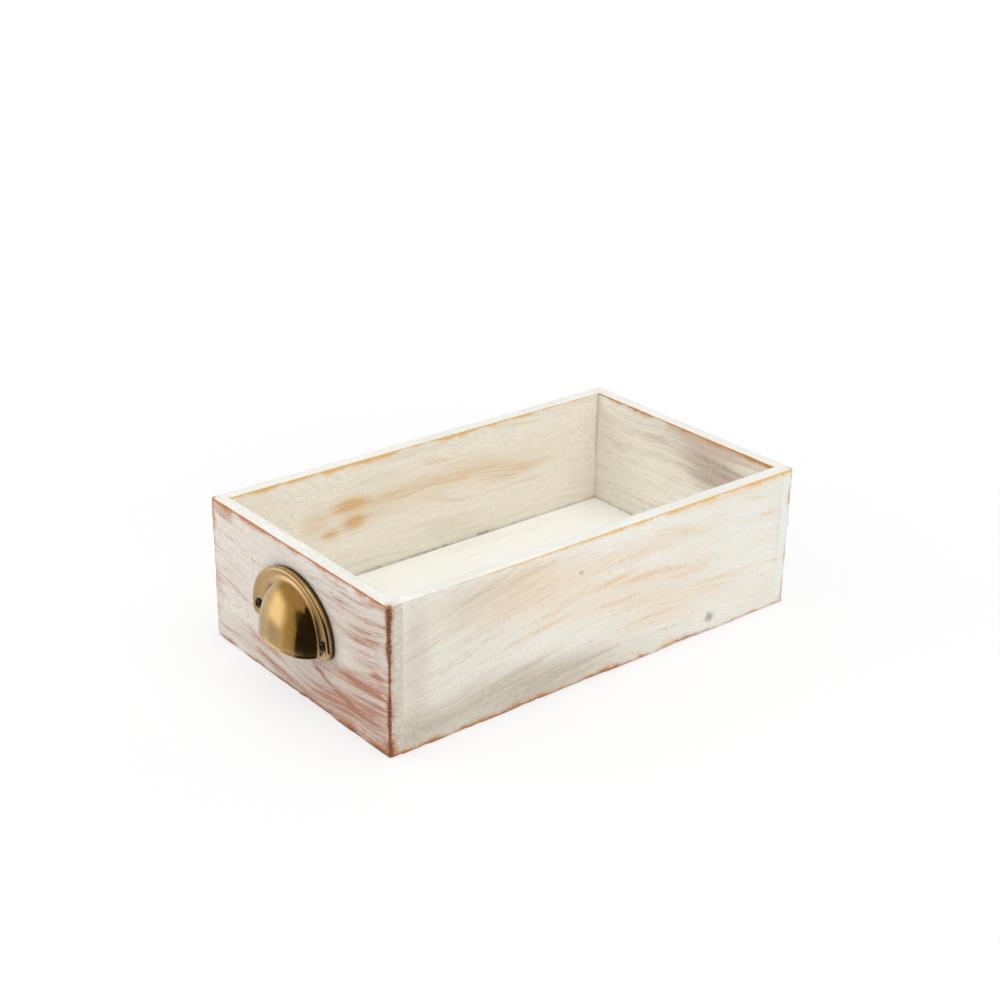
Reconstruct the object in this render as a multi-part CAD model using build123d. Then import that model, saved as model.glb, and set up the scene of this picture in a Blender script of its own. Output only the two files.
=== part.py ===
from build123d import *
from math import atan2, degrees
import os

os.makedirs("parts", exist_ok=True)

# Drawer box, outside sizes in millimetres
box_width = 175.0
box_length = 300.0
box_height = 90.0

# Boards
end_thickness = 9.0  # front and back boards, as wide as the box
side_thickness = 9.0  # side boards, which stand between the end boards
bottom_thickness = 9.0
bottom_recess = 5.5  # underside of the bottom board above the lower edges
bottom_side_gap = 0.3  # shrinkage gap along each long side of the bottom board

# Edges, eased after the box was glued up
corner_radius = 2.4
edge_radius = 1.4
rim_radius = 0.9

# Round-wire nails, set flush
nail_length = 25.0
nail_radius = 0.7
nail_head_radius = 1.3
nail_head_height = 0.6
nail_point_length = 2.2
nail_fit = 0.02
corner_nail_count = 3
corner_nail_distance = 15.0  # outermost nails from the board's long edges
side_nail_count = 3  # through each side board into the bottom board
side_nail_distance = 63.0  # outermost of them from the ends of the box
end_nail_count = 2  # through each end board into the bottom board
end_nail_distance = 40.0  # outermost of them from the sides of the box

# Pull screws, round-headed
screw_spacing = 64.0
screw_radius = 1.5
screw_head_radius = 3.1
screw_head_height = 1.9
screw_head_edge = 0.5  # straight side of the head under its dome
screw_point_length = 3.0
screw_tip_cover = 1.4  # wood left between the tip and the front board's inner face
screw_fit = 0.02
recess_length = 3.2
recess_width = 0.8
recess_depth = 1.1

# Cup pull, pressed from sheet
sheet_thickness = 1.2
foot_below_screws = 9.0
foot_radius = 7.6
flange_straight = 1.0  # upright stretch between the foot curve and the arch
flange_rise = 32.8  # crown of the arch above that stretch
flange_flatness = 3.3  # how far the crown is flatter than a round arch
rim_height = 4.4  # raised rim, off the board
rim_width = 2.9
rim_round = 1.6
band_height = 3.4  # flat band inside the rim, off the board
band_top_width = 2.9
rim_gap = 0.3  # from a screw's head to the rim
cup_gap = 2.3  # from a screw's head to the cup
cup_projection = 15.8
cup_flatness = 2.2
cup_root_round = 1.0
lip_drop = 1.0  # the cup's lower edge below the foot of the flange
lip_height = 1.3
lip_out = 0.4
lip_round = 0.3
screw_hole_clearance = 0.35

# Places and sizes that follow from these
inner_width = box_width - 2 * side_thickness
inner_length = box_length - 2 * end_thickness
pull_projection = cup_projection + lip_out
box_centre_y = pull_projection / 2  # the origin is below the middle of the whole object
front_y = box_centre_y - box_length / 2
back_y = box_centre_y + box_length / 2
bottom_middle_z = bottom_recess + bottom_thickness / 2
screw_z = box_height / 2
foot_z = screw_z - foot_below_screws
screw_length = band_height + end_thickness - screw_tip_cover
screw_places = {"left": -screw_spacing / 2, "right": screw_spacing / 2}
flange_half_width = screw_spacing / 2 + screw_head_radius + rim_gap + rim_width
flange_height = foot_radius + flange_straight + flange_rise
cup_half_width = screw_spacing / 2 - screw_head_radius - cup_gap
cup_rise = flange_height + lip_drop - rim_width - band_top_width


def block(size_x, size_y, size_z, x=0.0, y=0.0, z=0.0):
    """A box centred on x and y that stands on z."""
    return Pos(x, y, z) * Box(size_x, size_y, size_z, align=(Align.CENTER, Align.CENTER, Align.MIN))


def spread(first, last, count):
    """Evenly spaced places from first to last."""
    step = (last - first) / max(count - 1, 1)
    return [first + step * i for i in range(count)]


# Nails

def nail_form(clearance=0.0):
    """A nail along +Z, its head flush with z = 0; with a clearance, the hole it sits in."""
    shank = nail_radius + clearance
    head = nail_head_radius + clearance
    tip = nail_length + clearance
    outline = Polyline(
        (0, 0),
        (head, 0),
        (head, nail_head_height),
        (shank, nail_head_height),
        (shank, tip - nail_point_length),
        (0, tip),
        close=True,
    )
    return revolve(make_face(outline), Axis.Y).rotate(Axis.X, 90)


def nail_planes():
    """Where each nail's head lies and which way the nail runs, by node name."""
    planes = {}
    corner_x = box_width / 2 - side_thickness / 2
    heights = spread(corner_nail_distance, box_height - corner_nail_distance, corner_nail_count)
    along = spread(front_y + side_nail_distance, back_y - side_nail_distance, side_nail_count)
    across = spread(end_nail_distance - box_width / 2, box_width / 2 - end_nail_distance, end_nail_count)
    ends = {"front": (front_y, 1), "back": (back_y, -1)}
    sides = {"left": (-box_width / 2, 1), "right": (box_width / 2, -1)}
    for end, (y, inward) in ends.items():
        for side, (x, to_middle) in sides.items():
            for number, z in enumerate(heights, 1):
                head = (-to_middle * corner_x, y, z)
                planes[f"{end}_{side}_corner_nail_{number}"] = Plane(head, z_dir=(0, inward, 0))
        for number, x in enumerate(across, 1):
            planes[f"{end}_bottom_nail_{number}"] = Plane((x, y, bottom_middle_z), z_dir=(0, inward, 0))
    for side, (x, to_middle) in sides.items():
        for number, y in enumerate(along, 1):
            planes[f"{side}_bottom_nail_{number}"] = Plane((x, y, bottom_middle_z), z_dir=(to_middle, 0, 0))
    return planes


# Pull screws

def screw_form():
    """A screw whose head stands on z = 0 and whose shank runs along -Z."""
    dome_height = screw_head_height - screw_head_edge
    dome_radius = (screw_head_radius ** 2 + dome_height ** 2) / (2 * dome_height)
    dome_centre = screw_head_height - dome_radius
    start = degrees(atan2(screw_head_edge - dome_centre, screw_head_radius))
    outline = Polyline(
        (0, screw_head_height),
        (0, -screw_length),
        (screw_radius, screw_point_length - screw_length),
        (screw_radius, 0),
        (screw_head_radius, 0),
        (screw_head_radius, screw_head_edge),
    )
    dome = CenterArc((0, dome_centre), dome_radius, start, 90 - start)
    screw = revolve(make_face([*outline.edges(), dome]), Axis.Y).rotate(Axis.X, 90)
    floor_z = screw_head_height - recess_depth
    slot = block(recess_length, recess_width, recess_depth, z=floor_z)
    return screw - slot - slot.rotate(Axis.Z, 90)


def screw_hole():
    """The pilot hole under a screw, from the board's face at z = 0."""
    radius = screw_radius + screw_fit
    depth = screw_length - band_height + screw_fit
    outline = Polyline(
        (0, 0),
        (radius, 0),
        (radius, screw_point_length - depth),
        (0, -depth),
        close=True,
    )
    return revolve(make_face(outline), Axis.Y).rotate(Axis.X, 90)


def screw_plane(x, height):
    """The plane of a screw's head or hole, height off the front board."""
    return Plane((x, front_y - height, screw_z), x_dir=(1, 0, 0), z_dir=(0, -1, 0))


# Wooden boards

def eased_box():
    """The glued-up box without its bottom, with its outer edges and its rim eased."""
    box = block(box_width, box_length, box_height, y=box_centre_y)
    box = fillet(box.edges().filter_by(Axis.Z), corner_radius)
    box = fillet(box.faces().sort_by(Axis.Z)[-1].edges(), edge_radius)
    box = fillet(box.faces().sort_by(Axis.Z)[0].edges(), edge_radius)
    box -= block(inner_width, inner_length, box_height, y=box_centre_y)
    return fillet(box.faces().sort_by(Axis.Z)[-1].inner_wires()[0].edges(), rim_radius)


def end_board(box, y):
    """The stretch of the box that the front or back board takes up."""
    return box & block(box_width, end_thickness, box_height, y=y)


def side_board(box, x):
    """The stretch of the box between the end boards that a side board takes up."""
    return box & block(side_thickness, inner_length, box_height, x=x, y=box_centre_y)


def bottom_board():
    width = inner_width - 2 * bottom_side_gap
    return block(width, inner_length, bottom_thickness, y=box_centre_y, z=bottom_recess)


def boards():
    """All five boards with the holes of the nails and screws that pass into them."""
    box = eased_box()
    side_x = box_width / 2 - side_thickness / 2
    made = {
        "front_board": end_board(box, front_y + end_thickness / 2),
        "back_board": end_board(box, back_y - end_thickness / 2),
        "left_side_board": side_board(box, -side_x),
        "right_side_board": side_board(box, side_x),
        "bottom_board": bottom_board(),
    }
    hole = nail_form(nail_fit)
    for nail, plane in nail_planes().items():
        end_or_side = nail.split("_")[0]
        outer = f"{end_or_side}_board" if end_or_side in ("front", "back") else f"{end_or_side}_side_board"
        inner = "bottom_board" if "bottom" in nail else f"{nail.split('_')[1]}_side_board"
        for board in (outer, inner):
            made[board] -= plane * hole
    for x in screw_places.values():
        made["front_board"] -= screw_plane(x, 0) * screw_hole()
    return made


# Cup pull

def arch(half_width, rise, flatness, straight=0.0, foot=0.0):
    """A three-centred arch on y = 0, on upright legs with rounded feet where it has them."""
    shoulder_radius = min(half_width, rise) - flatness
    across = half_width - shoulder_radius
    crown_radius = (across ** 2 + rise ** 2 - shoulder_radius ** 2) / (2 * (rise - shoulder_radius))
    meet = degrees(atan2(crown_radius - rise, across))
    spring = foot + straight
    curves = [
        CenterArc((across, spring), shoulder_radius, 0, meet),
        CenterArc((0, spring + rise - crown_radius), crown_radius, meet, 180 - 2 * meet),
        CenterArc((-across, spring), shoulder_radius, 180 - meet, meet),
    ]
    if spring:
        curves += Polyline((-half_width, spring), (-half_width, 0), (half_width, 0), (half_width, spring)).edges()
    else:
        curves.append(Line((-half_width, 0), (half_width, 0)))
    face = make_face(curves)
    if foot:
        face = fillet(face.vertices().group_by(Axis.Y)[0], foot)
    return face


def flange_face(inset):
    """The flange's outline, drawn in by an inset all round."""
    face = arch(
        flange_half_width - inset,
        flange_rise - inset,
        flange_flatness,
        flange_straight,
        foot_radius - inset,
    )
    return Pos(0, inset, 0) * face


def flange():
    """The flange as a solid, with its raised rim and sunk band."""
    plate = extrude(flange_face(0), rim_height)
    plate = fillet(plate.faces().sort_by(Axis.Z)[-1].edges(), rim_round)
    band = arch(
        flange_half_width - rim_width,
        flange_rise - rim_width,
        flange_flatness,
        foot_radius + flange_straight,
    )
    return plate - Pos(0, 0, band_height) * extrude(band, rim_height)


def cup(inset):
    """The cup as a solid: its plan turned up from the lip, then drawn out to its rise."""
    projection = cup_projection - inset
    plan = arch(cup_half_width - inset, projection, cup_flatness)
    round_cup = revolve(plan, Axis.X, 90)
    drawn_cup = scale(round_cup, by=(1, (cup_rise - inset) / projection, 1))
    return Pos(0, -lip_drop, 0) * drawn_cup


def lip():
    """The bead along the lower edge of the cup."""
    plan = arch(cup_half_width + lip_out, pull_projection, cup_flatness)
    bead = extrude(plan, lip_height)
    bead = fillet(bead.faces().filter_by(Axis.Z).edges(), lip_round)
    return Pos(0, -lip_drop, 0) * bead.rotate(Axis.X, 90).mirror(Plane.XZ)


def root_edges(pull):
    """Where the cup rises from the flange's band."""
    band = pull.faces().filter_by(Plane.XY).sort_by(lambda face: abs(face.center().Z - band_height))[0]
    return [edge for edge in band.edges() if abs(edge.center().X) < cup_half_width and edge.center().Y < cup_rise]


def cup_pull():
    """The pressed pull, open at the back and below the cup."""
    pull = flange() + cup(0)
    pull = fillet(root_edges(pull), cup_root_round) + lip()
    hollow = extrude(flange_face(sheet_thickness), band_height - sheet_thickness)
    pull = pull - hollow - cup(sheet_thickness)
    for x in screw_places.values():
        hole = Cylinder(screw_radius + screw_hole_clearance, 2 * rim_height)
        pull -= Pos(x, foot_below_screws, rim_height) * hole
    return Plane((0, front_y, foot_z), x_dir=(1, 0, 0), z_dir=(0, -1, 0)) * pull


def nodes():
    """Every piece by its node name."""
    made = boards()
    made["cup_pull"] = cup_pull()
    for side, x in screw_places.items():
        made[f"{side}_pull_screw"] = screw_plane(x, band_height) * screw_form()
    for nail, plane in nail_planes().items():
        made[nail] = plane * nail_form()
    return made


for name, piece in nodes().items():
    export_step(piece, f"parts/{name}.step")
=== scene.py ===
import math

import bpy
import numpy as np
from mathutils import Matrix, Vector, noise


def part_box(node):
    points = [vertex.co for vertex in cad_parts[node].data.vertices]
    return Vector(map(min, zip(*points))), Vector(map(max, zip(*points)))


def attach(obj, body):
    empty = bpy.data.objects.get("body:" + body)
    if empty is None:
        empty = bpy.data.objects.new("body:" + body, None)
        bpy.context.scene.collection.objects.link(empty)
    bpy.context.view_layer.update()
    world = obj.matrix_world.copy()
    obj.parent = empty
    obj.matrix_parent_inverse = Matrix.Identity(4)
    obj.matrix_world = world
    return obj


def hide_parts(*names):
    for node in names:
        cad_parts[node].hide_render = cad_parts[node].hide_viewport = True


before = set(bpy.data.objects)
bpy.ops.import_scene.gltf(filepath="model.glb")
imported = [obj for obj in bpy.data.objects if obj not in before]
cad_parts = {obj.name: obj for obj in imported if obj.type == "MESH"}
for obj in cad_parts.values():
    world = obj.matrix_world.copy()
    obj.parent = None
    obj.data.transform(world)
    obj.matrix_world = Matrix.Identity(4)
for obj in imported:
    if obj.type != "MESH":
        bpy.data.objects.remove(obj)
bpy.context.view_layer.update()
mm = 0.001
slack = 0.1 * mm  # faces that lie closer than this are taken to touch


# Places that every piece takes from the frame, in metres

frontLow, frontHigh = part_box("front_board")
backLow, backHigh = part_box("back_board")
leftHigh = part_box("left_side_board")[1]
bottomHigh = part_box("bottom_board")[1]
box = {
    "halfWidth": frontHigh.x,
    "front": frontLow.y,
    "back": backHigh.y,
    "top": frontHigh.z,
    "innerFront": frontHigh.y,
    "innerBack": backLow.y,
    "innerSide": -leftHigh.x,
    "floor": bottomHigh.z,
}


# Small helpers

def tone(red, green, blue):
    # a colour as it is read off a chart, 0 to 255, turned into the shares of light that Blender takes
    channels = [value / 255 for value in (red, green, blue)]
    return [c / 12.92 if c <= 0.04045 else ((c + 0.055) / 1.055) ** 2.4 for c in channels] + [1.0]


def smooth(value, start, full):
    # from 0 at start to 1 at full, whichever of them is higher
    share = np.clip((value - start) / (full - start), 0, 1)
    return share * share * (3 - 2 * share)


def ripple(points, size, start):
    # smooth noise between about -1 and 1; size is how far its waves reach, in every direction or
    # along x, y and z, and start picks the stretch of noise
    scaled = points / np.array(size) + start
    return np.array([noise.noise(point) for point in scaled])


def pieceName(node):
    first, *others = node.split("_")
    return first + "".join(word.capitalize() for word in others)


def newPiece(name, points, faces, material):
    if isinstance(faces, np.ndarray):
        faces = faces.tolist()
    mesh = bpy.data.meshes.new(name)
    mesh.from_pydata(points.tolist(), [], faces)
    mesh.polygons.foreach_set("use_smooth", np.ones(len(faces), bool))
    mesh.materials.append(material)
    piece = bpy.data.objects.new(name, mesh)
    bpy.context.scene.collection.objects.link(piece)
    return piece


def standFor(piece, node):
    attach(piece, "root")
    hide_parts(node)


class Finish:
    # a material or the world, with short calls for the nodes that it is wired from
    def __init__(self, name, world=False):
        self.data = (bpy.data.worlds if world else bpy.data.materials).new(name)
        self.data.use_nodes = True
        self.nodes = self.data.node_tree.nodes
        self.links = self.data.node_tree.links
        self.shader = self.nodes["Background" if world else "Principled BSDF"]
        self.output = self.nodes["World Output" if world else "Material Output"]

    def feed(self, socket, value):
        if isinstance(value, bpy.types.NodeSocket):
            self.links.new(value, socket)
        else:
            socket.default_value = value

    def add(self, kind, sockets=None, **settings):
        node = self.nodes.new("ShaderNode" + kind)
        for name, value in settings.items():
            setattr(node, name, value)
        for socket, value in (sockets or {}).items():
            self.feed(node.inputs[socket], value)
        return node

    def maths(self, operation, *values):
        return self.add("Math", dict(enumerate(values)), operation=operation).outputs[0]

    def times(self, first, second):
        return self.maths("MULTIPLY", first, second)

    def timesPlus(self, first, second, more):
        return self.maths("MULTIPLY_ADD", first, second, more)

    def centred(self, value):
        # noise lies around a half
        return self.maths("SUBTRACT", value, 0.5)

    def fade(self, value, low, high, least=0.0, most=1.0):
        # the same in a material, from least at low to most at high
        sockets = {"Value": value, "From Min": low, "From Max": high, "To Min": least, "To Max": most}
        return self.add("MapRange", sockets, interpolation_type="SMOOTHSTEP").outputs[0]

    def blend(self, share, first, second, how="MIX"):
        node = self.add("Mix", {0: share, 6: first, 7: second}, data_type="RGBA", blend_type=how)
        return node.outputs[2]

    def grain(self, place, size, detail=4.0, roughness=0.55, distortion=0.0):
        # noise with grains of this size, in every direction or along x, y and z
        stretch = [1 / length for length in np.broadcast_to(size, 3).tolist()]
        stretched = self.add("VectorMath", {0: place, 1: stretch}, operation="MULTIPLY").outputs[0]
        sockets = {
            "Vector": stretched,
            "Scale": 1.0,
            "Detail": detail,
            "Roughness": roughness,
            "Distortion": distortion,
        }
        return self.add("TexNoise", sockets).outputs[0]

    def carried(self, name):
        return self.add("Attribute", attribute_name=name).outputs["Fac"]

    def seen(self):
        # 1 for what is seen straight on, mirrored or through glass, 0 for what only gives light
        path = self.add("LightPath").outputs
        direct = self.maths("MAXIMUM", path["Is Camera Ray"], path["Is Glossy Ray"])
        return self.maths("MAXIMUM", direct, path["Is Transmission Ray"])

    def bump(self, height, distance, normal=None):
        sockets = {"Height": height, "Distance": distance, "Strength": 1.0}
        if normal is not None:
            sockets["Normal"] = normal
        return self.add("Bump", sockets).outputs[0]

    def finish(self, **sockets):
        for name, value in sockets.items():
            self.feed(self.shader.inputs[name.replace("_", " ")], value)
        return self.data

    def show(self, surface):
        self.links.new(surface, self.output.inputs["Surface"])
        return self.data


# Whitewashed wood

mostNoise = (0.3, 0.7)  # nearly all of a noise lies between these

wash = {
    # brush marks: length along the board, width across it, and the noise's detail and roughness
    "streak": (60 * mm, 2.8 * mm, 4.0, 0.6, 0.3),  # and its distortion
    "hair": (13 * mm, 0.8 * mm, 3.0, 0.6),
    "cloud": (60 * mm, 12 * mm, 4.0, 0.55),
    "line": (130 * mm, 6.5 * mm, 4.0, 0.6),
    "patch": (55 * mm, 10 * mm, 3.0, 0.55),
    "fineGrit": (2.0 * mm, 1.1 * mm, 2.0, 0.6),
    "coarseGrit": (4.2 * mm, 1.9 * mm, 3.0, 0.6),
    "fineShare": 0.55,  # how much of the grit is fine
    "wander": 7 * mm,  # how far a stroke strays sideways
    "wanderNoise": (75 * mm, 1.0),
    "edgeNoise": (1.4 * mm, 4.0, 0.65),
    "strokeDepth": 0.10 * mm,
    "gritDepth": 0.09 * mm,
    "endKept": 0.8,  # how much of its paint the end grain keeps
    "rimSmoothed": 0.75,  # how much of the strokes the rim has lost
    "knotGrit": 1.6,
    "raggedness": 0.7,  # of the worn edges
    "wornRoughness": 0.3,
    "shine": 0.3,
    # fades: where each begins and where it is full, with its least and most
    "square": (0.6, 0.92),  # how squarely rim and end grain face up and along
    "lineWidth": (0.050, 0.0),
    "lineBreaks": (0.38, 0.60, 0.25, 1.0),
    "thickFrom": (0.36, 0.64),
    "knotFrom": (1.0, 1.95, 0.0, 0.75),
    "wornFrom": (0.50, 0.78),
    "haloFrom": (0.10, 0.66),
    "stainFrom": (0.66, 0.96, 0.5, 1.15),
    "midStain": (0.0, 0.5),
    "darkStain": (0.5, 1.0),
    "paleHairs": (0.4, 0.7, 0.0, 0.35),
    "jointFrom": (0.35, 0.6),
    "roughness": (0.35, 0.8, 0.52, 0.7),
}


def whitewash(name, look):
    made = Finish(name)
    place = made.add("TexCoord").outputs["Object"]
    parts = made.add("SeparateXYZ", {0: place}).outputs
    along, across, depth = (parts[axis] for axis in look["grain"])

    # strokes lean one way at one end of the board and the other way at the other, and wander
    slope, change = look["lean"]
    lean = made.times(along, made.timesPlus(along, change / 2, slope))
    stray = made.times(made.centred(made.grain(place, *wash["wanderNoise"])), 2 * wash["wander"])
    sideways = made.maths("ADD", made.maths("ADD", across, lean), stray)
    brushed = made.add("CombineXYZ", {0: along, 1: sideways, 2: depth}).outputs[0]

    def layer(marks):
        length, width, *noisy = wash[marks]
        return made.grain(brushed, (length, width, width), *noisy)

    streaks, hairs, clouds, patches = (layer(marks) for marks in ("streak", "hair", "cloud", "patch"))
    coarse = made.times(layer("coarseGrit"), 1 - wash["fineShare"])
    grit = made.timesPlus(layer("fineGrit"), wash["fineShare"], coarse)
    wavering = made.maths("ABSOLUTE", made.centred(layer("line")))
    broken = made.fade(grit, *wash["lineBreaks"])
    line = made.times(made.fade(wavering, *wash["lineWidth"]), broken)

    # the rim and the end grain keep their paint, and the inside was painted creamier; the upward-facing
    # rim also takes a darker tone, painted shade against the overhead lamp
    facing = made.add("SeparateXYZ", {0: made.add("NewGeometry").outputs["Normal"]}).outputs
    rim = made.times(made.fade(facing[2], *wash["square"]), look["rimKept"])
    endGrain = made.fade(made.maths("ABSOLUTE", facing[look["grain"][0]]), *wash["square"])
    kept = made.maths("MAXIMUM", rim, made.times(endGrain, wash["endKept"]))
    worked = made.maths("SUBTRACT", 1.0, kept)
    cloudy = made.times(clouds, 1 - look["gritty"])
    thick = made.fade(made.timesPlus(grit, look["gritty"], cloudy), *wash["thickFrom"])
    outer = made.blend(thick, look["paint"], look["paintThick"])
    outer = made.blend(endGrain, outer, look["endPaint"])
    inner = made.blend(thick, look["insidePaint"], look["insideThick"])
    colour = made.blend(made.carried("inside"), outer, inner)

    # where it is rubbed, the paint thins and then bares the wood, in patches and in fine lines
    cloudShare, streakShare, gritShare = look["rubbedBy"]
    mixed = made.times(streaks, streakShare)
    mixed = made.timesPlus(clouds, cloudShare, mixed)
    mixed = made.timesPlus(grit, gritShare, mixed)
    for channel in look["rubs"]:
        tint = look[channel]
        rub = made.maths("ADD", made.carried(channel + "Rub"), tint["everywhere"])
        level = made.timesPlus(rub, tint["pull"], mixed)
        thin = made.times(made.fade(level, *tint["thinFrom"]), tint["thinMost"])
        streaky = made.timesPlus(made.centred(streaks), look["streaky"], level)
        bare = made.times(made.fade(streaky, *tint["bareFrom"]), tint["bareMost"])
        gathered = made.timesPlus(rub, tint["linePull"], patches)
        lines = made.times(line, made.fade(gathered, *tint["lineFrom"]))
        lines = made.times(lines, tint["lineMost"])
        colour = made.blend(made.times(thin, worked), colour, tint["thin"])
        bare = made.times(made.maths("MAXIMUM", bare, lines), worked)
        colour = made.blend(bare, colour, tint["bare"])
    # the upward-facing rim is given a darker tone than the sides: painted shade
    colour = made.blend(rim, colour, made.blend(thick, look["rim"], look["rimThick"]))
    knot = made.timesPlus(grit, wash["knotGrit"], made.carried("knot"))
    colour = made.blend(made.fade(knot, *wash["knotFrom"]), colour, look["knotTone"])

    # light and dark along the strokes, and the grit of brushed paint
    shade = made.timesPlus(hairs, 0.5, made.times(streaks, 0.5))
    shade = made.fade(shade, *mostNoise, 1 - look["strokes"], 1 + look["strokes"])
    speckle = made.timesPlus(made.carried("greyRub"), look["rubbedGrit"], look["grit"])
    speckle = made.times(made.fade(grit, *mostNoise, -1.0), speckle)
    shade = made.timesPlus(speckle, shade, shade)
    strokes = made.add("CombineXYZ", {0: shade, 1: shade, 2: shade}).outputs[0]
    share = made.timesPlus(rim, -wash["rimSmoothed"], 1.0)
    colour = made.blend(share, colour, strokes, "MULTIPLY")

    # along the edges the stain shows, ragged where the paint begins, and the joints are darkened with
    # painted shade
    ragged = made.centred(made.grain(place, *wash["edgeNoise"]))
    ragged = made.timesPlus(ragged, wash["raggedness"], made.carried("edgeNear"))
    worn = made.times(made.fade(ragged, *wash["wornFrom"]), look["edgeMost"])
    halo = made.times(made.fade(ragged, *wash["haloFrom"]), look["halo"])
    stain = made.times(made.carried("edgeStain"), made.fade(ragged, *wash["stainFrom"]))
    edgeTone = made.blend(made.fade(stain, *wash["midStain"]), look["edgeLight"], look["edgeMid"])
    edgeTone = made.blend(made.fade(stain, *wash["darkStain"]), edgeTone, look["edgeDark"])
    edgeTone = made.blend(made.fade(hairs, *wash["paleHairs"]), edgeTone, look["edgeLight"])
    for share in (halo, worn):
        colour = made.blend(share, colour, edgeTone)
    # painted shade: the joints take a dark tone
    joint = made.times(made.fade(grit, *wash["jointFrom"]), made.carried("joint"))
    colour = made.blend(joint, colour, look["jointTone"])

    rough = made.timesPlus(worn, wash["wornRoughness"], mixed)
    rough = made.fade(rough, *wash["roughness"])
    stroked = made.bump(streaks, wash["strokeDepth"])
    gritty = made.bump(grit, wash["gritDepth"], stroked)
    shine = wash["shine"]
    return made.finish(Base_Color=colour, Roughness=rough, Normal=gritty, Specular_IOR_Level=shine)


# what each board's wash shows; warm and grey are the two kinds of place where it is rubbed
sharedLook = {
    "grain": (1, 2, 0),  # which way the board runs, which way is across it, and which way through it
    "lean": (0.0, 0.0),  # slope of the strokes at the middle, and its change for each metre along
    "rimKept": 0.93,
    "gritty": 0.35,  # how much of the paint's thick and thin comes from grit
    "rubs": ("warm", "grey"),  # the second lies over the first
    "rubbedBy": (0.28, 0.30, 0.42),  # shares of clouds, streaks and grit where the paint is rubbed
    "streaky": 0.5,  # how much the rubbed places break up into streaks
    "strokes": 0.025,
    "grit": 0.08,
    "rubbedGrit": 0.16,  # how much more grit shows where the paint is rubbed grey
    "paint": tone(226, 226, 215),
    "paintThick": tone(243, 243, 238),
    "endPaint": tone(226, 224, 213),
    "insidePaint": tone(241, 235, 221),
    "insideThick": tone(246, 242, 232),
    # the rim tones are darker than the paint: painted shade on the faces the lamp lights most
    "rim": tone(222, 222, 213),
    "rimThick": tone(233, 233, 227),
    "knotTone": tone(136, 142, 146),
    "halo": 0.32,
    "edgeLight": tone(226, 182, 112),
    "edgeMid": tone(178, 112, 70),
    "edgeDark": tone(84, 46, 30),
    "edgeMost": 0.92,
    "jointTone": tone(112, 106, 84),
}
peach = {
    "everywhere": 0.15,  # how rubbed the board is away from the rubbed places
    "pull": 0.26,  # how strongly rubbing wears the paint
    "thin": tone(236, 221, 200),
    "bare": tone(227, 194, 150),
    "thinFrom": (0.48, 0.72),
    "thinMost": 0.95,
    "bareFrom": (0.64, 0.88),
    "bareMost": 0.75,
    "linePull": 0.24,
    "lineFrom": (0.54, 0.74),
    "lineMost": 0.55,
}
golden = {
    **peach,
    "everywhere": 0.08,
    "thin": tone(231, 212, 184),
    "bare": tone(220, 164, 92),
    "lineMost": 0.35,
}
rose = {
    **peach,
    "thin": tone(212, 192, 178),
    "bare": tone(176, 114, 84),
    "thinFrom": (0.48, 0.70),
    "bareFrom": (0.66, 0.86),
    "bareMost": 0.85,
    "linePull": 0.34,
    "lineMost": 0.85,
}
dusk = {
    **peach,
    "everywhere": 0.0,
    "pull": 0.28,
    "thin": tone(205, 197, 181),
    "bare": tone(176, 161, 143),
    "thinFrom": (0.48, 0.76),
    "bareFrom": (0.66, 0.92),
    "bareMost": 0.5,
    "lineFrom": (0.66, 0.84),
    "lineMost": 0.35,
}
looks = {
    "front": {
        **sharedLook,
        "grain": (0, 2, 1),
        "lean": (0.03, -1.9),
        "gritty": 0.75,
        "rubs": ("grey", "warm"),
        "rubbedBy": (0.20, 0.16, 0.64),
        "streaky": 0.7,
        "grit": 0.17,
        "paint": tone(226, 220, 211),
        "paintThick": tone(247, 243, 236),
        "endPaint": tone(208, 205, 190),
        "edgeLight": tone(214, 152, 104),
        "warm": {**rose, "thinMost": 0.7},
        "grey": {**dusk, "thin": tone(194, 176, 162), "bare": tone(158, 134, 118), "bareMost": 0.7},
    },
    "right": {
        **sharedLook,
        "lean": (-0.046, 1.77),
        "rubbedBy": (0.12, 0.20, 0.68),
        "grit": 0.07,
        "paint": tone(233, 231, 220),
        "warm": peach,
        "grey": dusk,
    },
    "left": {
        **sharedLook,
        "lean": (0.03, 0.3),
        "rubbedBy": (0.22, 0.24, 0.54),
        "grit": 0.12,
        "warm": golden,
        "grey": {**dusk, "thin": tone(208, 206, 186), "bare": tone(182, 177, 154)},
    },
    "back": {
        **sharedLook,
        "grain": (0, 2, 1),
        "lean": (-0.02, 0.4),
        "endPaint": tone(236, 237, 229),
        "insidePaint": tone(244, 240, 227),
        "insideThick": tone(248, 246, 236),
        "rubbedBy": (0.20, 0.28, 0.52),
        "grit": 0.05,
        "strokes": 0.012,
        "warm": {**rose, "everywhere": 0.0, "bareMost": 0.45, "lineMost": 0.15},
        "grey": {**dusk, "thin": tone(207, 194, 180), "bare": tone(172, 152, 138)},
    },
    "floor": {
        **sharedLook,
        "grain": (1, 0, 2),
        "rimKept": 0.0,
        "grit": 0.02,
        "rubbedGrit": 0.0,
        "strokes": 0.006,
        "insidePaint": tone(247, 248, 243),
        "insideThick": tone(250, 250, 248),
        "warm": {**golden, "everywhere": -0.6, "lineMost": 0.0},
        # the floor's grey tints serve only the painted shade along the left wall
        "grey": {**dusk, "thin": tone(228, 224, 208), "bare": tone(216, 210, 192), "lineMost": 0.0},
    },
}
finishes = {name: whitewash(name + "Whitewash", look) for name, look in looks.items()}
print("whitewash mixed for", len(finishes), "boards")


# Boards

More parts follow.
